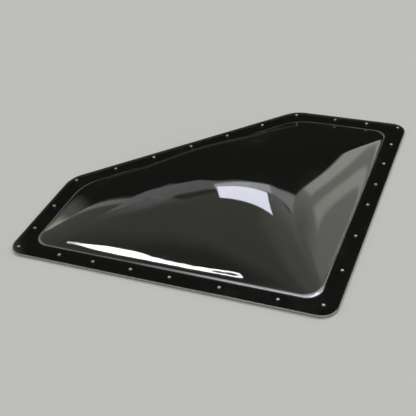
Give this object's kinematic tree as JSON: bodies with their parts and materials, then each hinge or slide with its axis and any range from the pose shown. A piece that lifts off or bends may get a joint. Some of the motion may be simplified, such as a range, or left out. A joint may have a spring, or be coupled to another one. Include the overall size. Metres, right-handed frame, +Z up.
{
  "type": "skylight dome",
  "caption": "Low thermoformed dome with a flat screwed flange, square plan with one corner cut off, that covers a skylight or vent opening in a caravan roof.",
  "frame": {"origin": "on the roof plane, at the middle of the square that the outline is cut from", "axes": "+X to the right along the front side, +Y away along the right side, +Z up out of the roof"},
  "size_m": [0.762, 0.762, 0.099],
  "materials": {
    "smoked_sheet": "glossy smoke-tinted transparent polycarbonate with bright cut edges",
    "stainless": "plain stainless steel",
    "washer_rubber": "matt black EPDM",
    "butyl_tape": "matt dark grey butyl"
  },
  "bodies": {
    "root": {"dome_shell": "smoked_sheet", "flange_screws": "stainless", "sealing_washers": "washer_rubber", "seal_tape_front": "butyl_tape", "seal_tape_right": "butyl_tape", "seal_tape_right_return": "butyl_tape", "seal_tape_diagonal": "butyl_tape", "seal_tape_left_return": "butyl_tape"}
  },
  "joints": []
}
